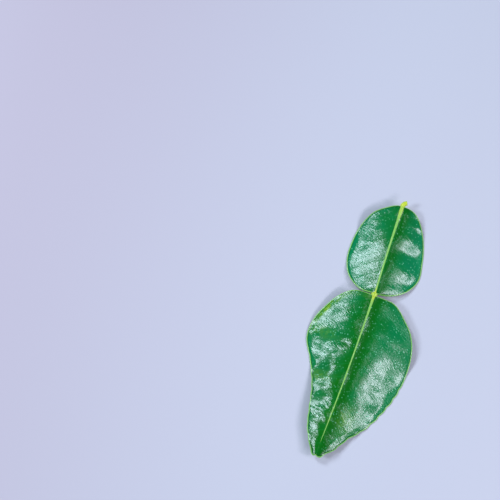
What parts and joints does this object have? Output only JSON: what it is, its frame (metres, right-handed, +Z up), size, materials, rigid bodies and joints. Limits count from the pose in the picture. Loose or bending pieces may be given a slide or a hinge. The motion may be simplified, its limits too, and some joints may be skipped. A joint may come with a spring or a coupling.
{
  "type": "kaffir lime leaf",
  "caption": "Fresh double leaf lying on a surface: winged petiole with a cut stalk, knotted joint, and a longer blade with a notched tip.",
  "frame": {"origin": "under the middle of the leaf's bounding box, on the surface that it lies on", "axes": "+Y along the leaf towards the cut stalk, +Z up out of the glossy side, +X across"},
  "size_m": [0.0458, 0.1184, 0.007],
  "materials": {
    "leaf_green": "fresh leaf: deep green and glossy above, paler and duller below, with a pale midrib and rim"
  },
  "bodies": {
    "root": {"kaffir_lime_leaf": "leaf_green"}
  },
  "joints": []
}
